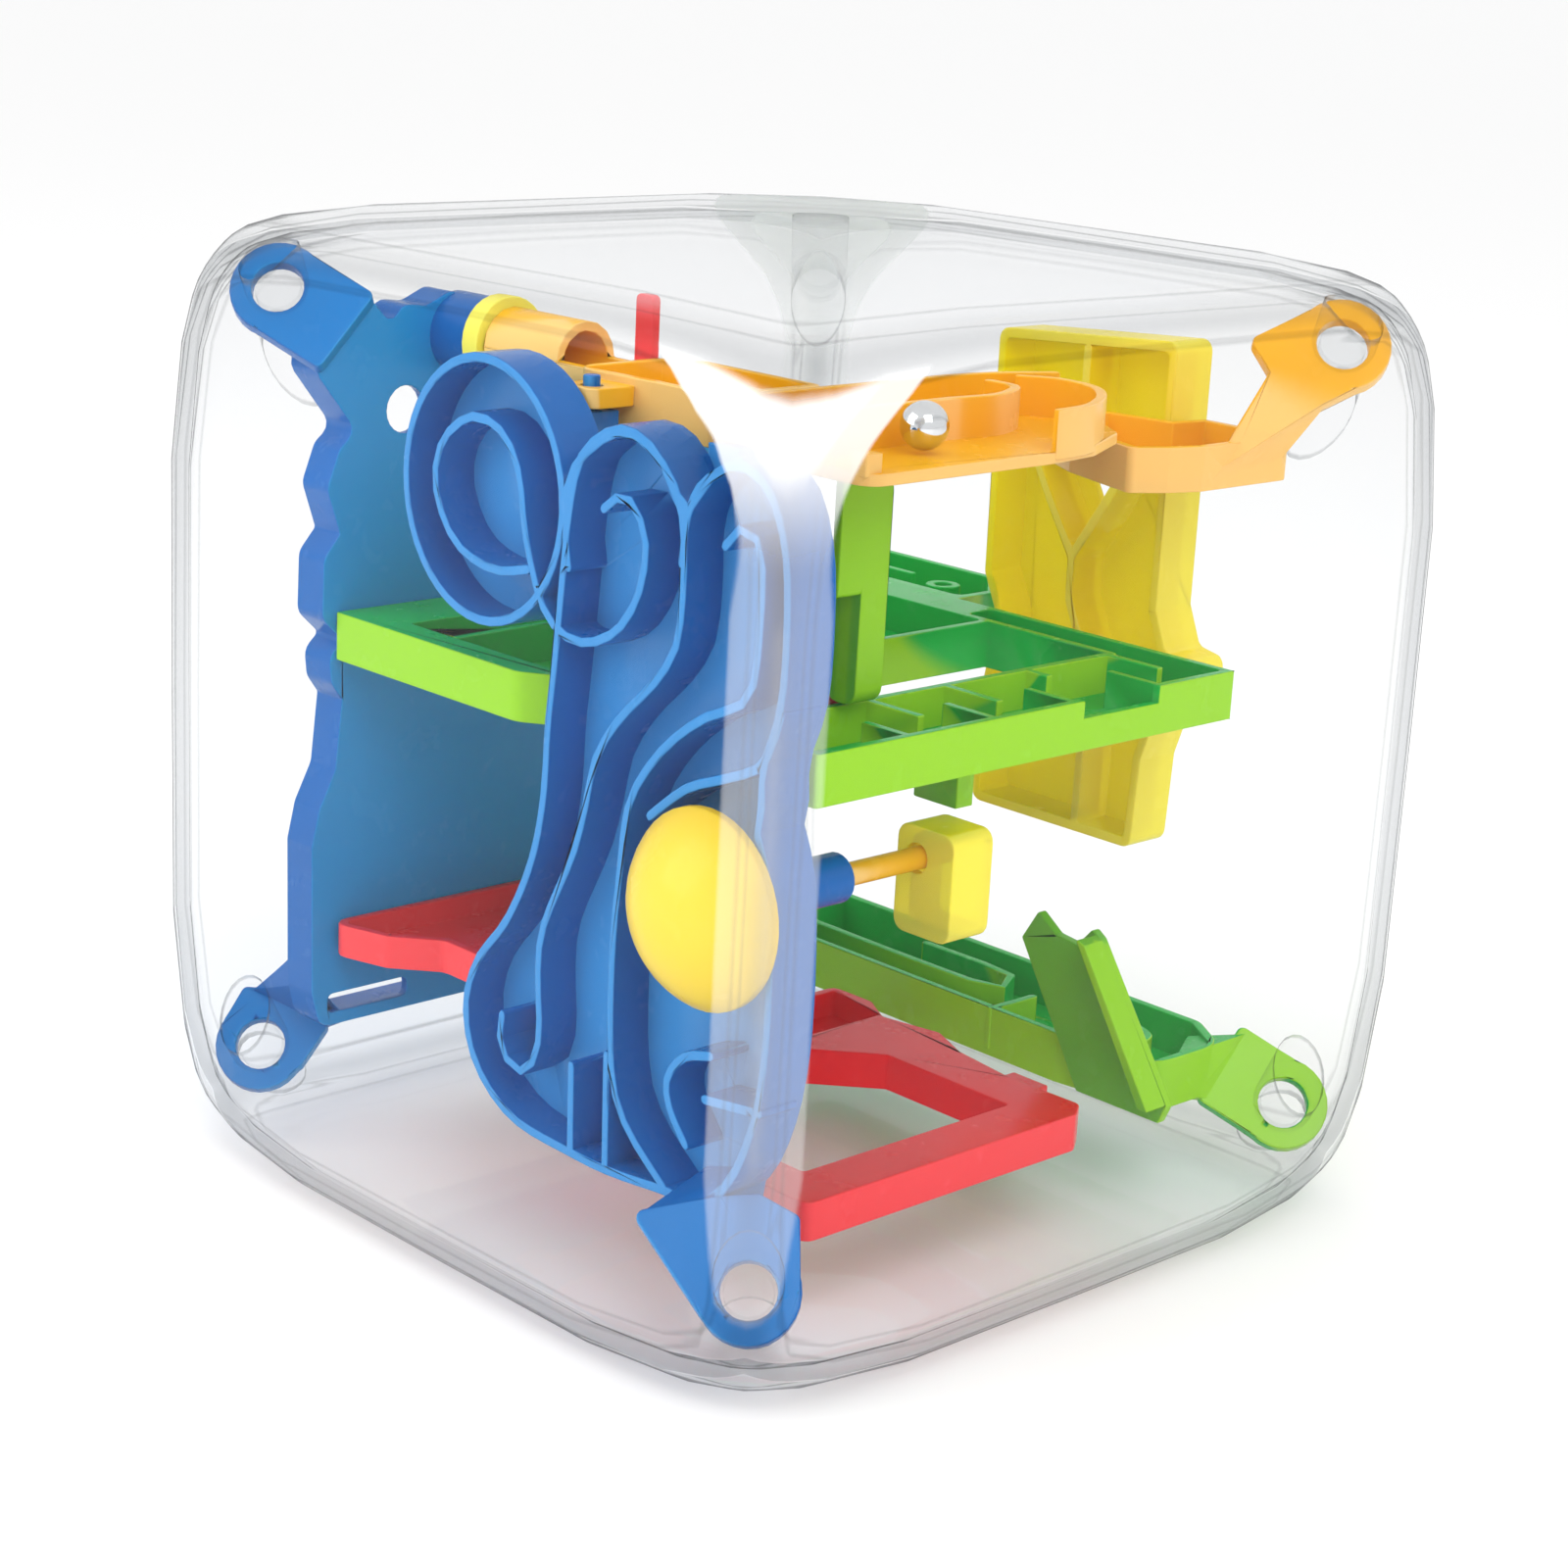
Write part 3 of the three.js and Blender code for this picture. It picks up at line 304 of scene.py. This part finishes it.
def case_tint(tree, glance, shell):
    """What passes through the case's wall: painted grey shade in rounded edges, painted dark shade at a
    glance and along the edges' rounding, and a dark seam along the parting line.
    """
    normal = object_normal(tree)
    flatness = largest_part(tree, normal)
    # painted shade: grey over the rounded edges, standing in for refraction in the thick wall
    curved = math(tree, "MULTIPLY", remap(tree, flatness, 0.72, 0.995, 1, 0), shell)
    rounded = mix_colour(tree, curved, CASE_CLEAR, CASE_ROUNDED_SHADE)
    parting = math(tree, "ABSOLUTE", dot(tree, normal, PARTING_NORMAL))
    # painted shade: a grey line where the rounding of an edge begins
    painted_edge_line = math(tree, "MULTIPLY", line_at(tree, flatness, 0.95, 0.02), 0.35)
    # the dark seam line along the parting line of the two halves
    seam = math(tree, "MAXIMUM", line_at(tree, parting, 0.0, 0.04), line_at(tree, parting, 0.13, 0.03))
    lines = math(tree, "MULTIPLY", math(tree, "MAXIMUM", seam, painted_edge_line), shell)
    lined = mix_colour(tree, lines, rounded, CASE_SEAM_AND_SHADE_LINE)
    # painted shade: dark where a rounded wall is seen edge-on
    off_flat = remap(tree, flatness, 0.985, 0.999, 1, 0)
    edge_on = math(tree, "MULTIPLY", remap(tree, glance, 0.8, 0.97), off_flat)
    return mix_colour(tree, math(tree, "MULTIPLY", edge_on, shell), lined, CASE_GLANCE_SHADE)


def case_painted_reflection(tree):
    """The share of painted reflection: a crisp white strip painted on the middle upright edge of each half
    that flares at the top.
    """
    diagonal = math(tree, "ABSOLUTE", dot(tree, place_in_object(tree), (1, -1, 0)))
    from_edge = math(tree, "SUBTRACT", 2 * CASE_HIGH.x, diagonal)
    height = dot(tree, place_in_object(tree), (0, 0, 1))
    climb = remap(tree, height, REFLECTION_STRIP_FLARE_FROM, CASE_HIGH.z, smooth=False)
    flare = math(tree, "MULTIPLY", math(tree, "POWER", climb, 2.4), REFLECTION_STRIP_FLARE)
    reach = math(tree, "ADD", flare, REFLECTION_STRIP_REACH)
    inside = remap(tree, math(tree, "SUBTRACT", reach, from_edge), 0, 0.8 * MM)
    below_top = remap(tree, dot(tree, object_normal(tree), (0, 0, 1)), 0.35, 0.5, 1, 0)
    strength = remap(tree, climb, 0, 0.6, REFLECTION_STRIP_LOW, REFLECTION_STRIP_HIGH)
    return math(tree, "MULTIPLY", math(tree, "MULTIPLY", inside, below_top), strength)


def clear_case():
    """Clear plastic with a dark parting-line seam, painted shade in and along its rounded edges, and a
    painted reflection strip along the middle upright edge of each half.
    """
    material, tree = new_material("clear_case")
    rim = add(tree, "ShaderNodeLayerWeight")
    rim.inputs["Blend"].default_value = 0.5
    glance = rim.outputs["Facing"]
    shell = shell_share(tree)
    through = add(tree, "ShaderNodeBsdfTransparent")
    tree.links.new(case_tint(tree, glance, shell), through.inputs["Color"])
    gloss = add(tree, "ShaderNodeBsdfGlossy")
    gloss.inputs["Color"].default_value = (0.9, 0.91, 0.92, 1)
    scratch = remap(tree, noise(tree, 160, 5), 0.35, 0.75, 0.02, 0.08, smooth=False)
    tree.links.new(scratch, gloss.inputs["Roughness"])
    ripple = math(tree, "ADD", noise(tree, 26, 1), math(tree, "MULTIPLY", noise(tree, 600, 2), 0.04))
    tree.links.new(bump(tree, ripple, 0.1, 0.3 * MM), gloss.inputs["Normal"])
    glint = remap(tree, math(tree, "POWER", glance, 4), 0.0, 1.0, 0.005, 0.4, smooth=False)
    mirror = math(tree, "MULTIPLY", glint, shell)
    skin = add(tree, "ShaderNodeMixShader")
    tree.links.new(mirror, skin.inputs["Fac"])
    tree.links.new(through.outputs[0], skin.inputs[1])
    tree.links.new(gloss.outputs[0], skin.inputs[2])
    # painted reflection: a white surface mixed in along the strip, standing in for a softbox's reflection
    reflection_strip_surface = add(tree, "ShaderNodeBsdfPrincipled")
    reflection_strip_surface.inputs["Base Color"].default_value = (*REFLECTION_STRIP_COLOUR, 1)
    reflection_strip_surface.inputs["Roughness"].default_value = 0.2
    blend = add(tree, "ShaderNodeMixShader")
    tree.links.new(case_painted_reflection(tree), blend.inputs["Fac"])
    tree.links.new(skin.outputs[0], blend.inputs[1])
    tree.links.new(reflection_strip_surface.outputs[0], blend.inputs[2])
    out = add(tree, "ShaderNodeOutputMaterial")
    tree.links.new(blend.outputs[0], out.inputs["Surface"])
    return material


def polished_steel():
    material, tree = new_material("polished_steel")
    shader = add(tree, "ShaderNodeBsdfPrincipled")
    shader.inputs["Metallic"].default_value = 1
    tone = mix_colour(tree, noise(tree, 300, 3), (0.62, 0.63, 0.64), (0.82, 0.83, 0.84))
    tree.links.new(tone, shader.inputs["Base Color"])
    gloss = remap(tree, noise(tree, 1500, 4), 0.3, 0.7, 0.03, 0.1, smooth=False)
    tree.links.new(gloss, shader.inputs["Roughness"])
    tree.links.new(bump(tree, noise(tree, 2500, 2), 0.05, 0.01 * MM), shader.inputs["Normal"])
    out = add(tree, "ShaderNodeOutputMaterial")
    tree.links.new(shader.outputs[0], out.inputs["Surface"])
    return material


# ---------------------------------------------------------------- pieces


def moulded(node, material, width=EDGE_WIDTH):
    """A copy of a CAD node that stands for it, with rounded outer edges and crisp inner ones."""
    source = NODES[node]
    mesh = source.data.copy()
    mesh.materials.clear()
    mesh.materials.append(material)
    tidy = bmesh.new()
    tidy.from_mesh(mesh)
    bmesh.ops.remove_doubles(tidy, verts=tidy.verts, dist=MERGE_DISTANCE)
    for face in tidy.faces:
        face.smooth = True
        face.material_index = 0
    weight = tidy.edges.layers.float.new("bevel_weight_edge")
    for edge in tidy.edges:
        turn = edge.calc_face_angle_signed(0)
        edge[weight] = 1.0 if turn > EDGE_ANGLE else 0.0
        edge.smooth = turn > -EDGE_ANGLE
    tidy.to_mesh(mesh)
    tidy.free()
    piece = bpy.data.objects.new(node + "_moulded", mesh)
    bpy.context.scene.collection.objects.link(piece)
    bevel = piece.modifiers.new("rounded_edges", "BEVEL")
    bevel.width = width
    bevel.segments = 2
    bevel.limit_method = "WEIGHT"
    bevel.use_clamp_overlap = False
    flatten = piece.modifiers.new("flat_faces_flat", "WEIGHTED_NORMAL")
    flatten.keep_sharp = True
    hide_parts(node)
    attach(piece, BODY_OF[node])
    return piece


def centre_of(node):
    low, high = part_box(node)
    return tuple((low + high) / 2)


def make_case():
    material = clear_case()
    for node in ("front_case_half", "back_case_half"):
        moulded(node, material, CASE_EDGE_WIDTH)


def make_blue_pieces():
    # painted light and shade: the lighter blues are painted on faces along the panel's axis, the darker
    # wall blue on the rest
    face = (0.035, 0.25, 0.60)
    wall = (0.0, 0.12, 0.43)
    moulded("swirl_panel", plastic("blue_swirl", wall, face, facing((0, 1, 0))))
    moulded("corner_panel", plastic("blue_corner", wall, (0.004, 0.24, 0.58), facing((1, 0, 0))))
    moulded("hub_sleeve", plastic("blue_sleeve", wall, face, facing((0, 1, 0))))


def make_yellow_pieces():
    # painted light: the second, paler yellow is laid on the outer upright faces
    yellow, lit_yellow, tint = (1.0, 0.85, 0.0), (1.0, 0.92, 0.12), (1.0, 0.9, 0.08)
    for node, clear in (("back_panel", 0.5), ("axle_block", 0.5), ("tube_ring", 0.1)):
        outer = outward(centre_of(node))
        moulded(node, plastic("yellow_" + node, yellow, lit_yellow, outer, clear=clear, tint=tint))
    # painted light: the second, lighter yellow is laid on the wheel's faces that look along y
    dome, lit_wheel = (0.93, 0.62, 0.02), (0.96, 0.70, 0.06)
    moulded("dome_wheel", plastic("yellow_wheel", dome, lit_wheel, facing((0, 1, 0)), clear=0.08, tint=tint))


def make_orange_pieces():
    # painted light: the second, paler orange is laid on the outer upright faces
    orange, lit_orange, tint = (1.0, 0.53, 0.01), (1.0, 0.65, 0.2), (1.0, 0.68, 0.1)
    for node, clear in (
        ("top_tray_left", 0.2),
        ("top_tray_right", 0.3),
        ("corner_tray", 0.3),
        ("half_pipe", 0.12),
        ("wheel_axle", 0.25),
    ):
        outer = outward(centre_of(node))
        moulded(node, plastic("orange_" + node, orange, lit_orange, outer, clear=clear, tint=tint))


def make_green_pieces():
    # painted light: the second, lime colour is a lit copy laid on the outer upright faces
    green, lit_green, tint = (0.004, 0.47, 0.055), (0.29, 0.62, 0.012), (0.4, 0.9, 0.2)
    for node in ("mid_tray", "base_tray"):
        moulded(node, plastic("green_" + node, green, lit_green, outward(centre_of(node))))
    for node in ("green_post", "saw_fence"):
        outer = outward(centre_of(node))
        moulded(node, plastic("lime_" + node, (0.15, 0.50, 0.03), lit_green, outer, clear=0.1, tint=tint))


def make_red_pieces():
    # painted light and sheen: the second, paler red is laid on the outer upright faces
    red, lit_red = (0.86, 0.0, 0.008), (0.88, 0.05, 0.06)
    for node in ("red_frame", "red_left_tray", "red_clip", "red_flag"):
        moulded(node, plastic("red_" + node, red, lit_red, outward(centre_of(node))))


def make_ball():
    """The ball, rounder than its CAD solid."""
    low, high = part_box("steel_ball")
    mesh = bpy.data.meshes.new("rolling_ball")
    shape = bmesh.new()
    bmesh.ops.create_icosphere(shape, subdivisions=5, radius=(high.z - low.z) / 2)
    for face in shape.faces:
        face.smooth = True
    shape.to_mesh(mesh)
    shape.free()
    mesh.materials.append(polished_steel())
    ball = bpy.data.objects.new("rolling_ball", mesh)
    ball.location = (low + high) / 2
    bpy.context.scene.collection.objects.link(ball)
    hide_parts("steel_ball")
    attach(ball, BODY_OF["steel_ball"])


# ---------------------------------------------------------------- studio


def make_floor():
    material, tree = new_material("pale_floor")
    shader = add(tree, "ShaderNodeBsdfPrincipled")
    shader.inputs["Base Color"].default_value = (0.96, 0.96, 0.96, 1)
    shader.inputs["Roughness"].default_value = 0.8
    shader.inputs["Specular IOR Level"].default_value = 0.1
    out = add(tree, "ShaderNodeOutputMaterial")
    tree.links.new(shader.outputs[0], out.inputs["Surface"])
    mesh = bpy.data.meshes.new("floor")
    corners = [(x * FLOOR_REACH, y * FLOOR_REACH, 0) for x, y in ((-1, -1), (1, -1), (1, 1), (-1, 1))]
    mesh.from_pydata(corners, [], [(0, 1, 2, 3)])
    mesh.materials.append(material)
    floor = bpy.data.objects.new("floor", mesh)
    floor.location.z = CASE_LOW.z - FLOOR_GAP
    bpy.context.scene.collection.objects.link(floor)


def make_light(name, place, size, power):
    light = bpy.data.lights.new(name, "AREA")
    light.size = size
    light.energy = power
    holder = bpy.data.objects.new(name, light)
    holder.location = place
    holder.rotation_euler = (-Vector(place)).to_track_quat("-Z", "Y").to_euler()
    bpy.context.scene.collection.objects.link(holder)


def make_world():
    world = bpy.data.worlds.new("studio")
    world.use_nodes = True
    background = world.node_tree.nodes["Background"]
    background.inputs["Color"].default_value = (1, 1, 1, 1)
    background.inputs["Strength"].default_value = 1.0
    bpy.context.scene.world = world


def make_camera():
    azimuth, elevation, roll = radians(45.95), radians(15.8), radians(2.95)
    place = Vector((0.29638, -0.28692, 0.10769))
    back = Vector((sin(azimuth) * cos(elevation), -cos(azimuth) * cos(elevation), sin(elevation)))
    level_right = (-back).cross(Vector((0, 0, 1))).normalized()
    level_up = back.cross(level_right)
    right = level_right * cos(roll) + level_up * sin(roll)
    up = level_up * cos(roll) - level_right * sin(roll)
    camera = bpy.data.cameras.new("camera")
    camera.sensor_width = 36
    camera.lens = 71.12
    camera.clip_start = 0.01
    holder = bpy.data.objects.new("camera", camera)
    holder.matrix_world = Matrix.Translation(place) @ Matrix((right, up, back)).transposed().to_4x4()
    bpy.context.scene.collection.objects.link(holder)
    bpy.context.scene.camera = holder


def set_view():
    scene = bpy.context.scene
    scene.view_settings.view_transform = "Standard"
    scene.cycles.transparent_max_bounces = 40
    scene.cycles.max_bounces = 8
    scene.cycles.sample_clamp_indirect = 4


make_case()
make_blue_pieces()
make_yellow_pieces()
make_orange_pieces()
make_green_pieces()
make_red_pieces()
make_ball()
make_floor()
make_world()
make_light("key", (0.6, -0.3, 0.6), 0.5, 3.0)
make_light("fill", (-0.3, -0.65, 0.4), 0.6, 2.4)
make_camera()
set_view()
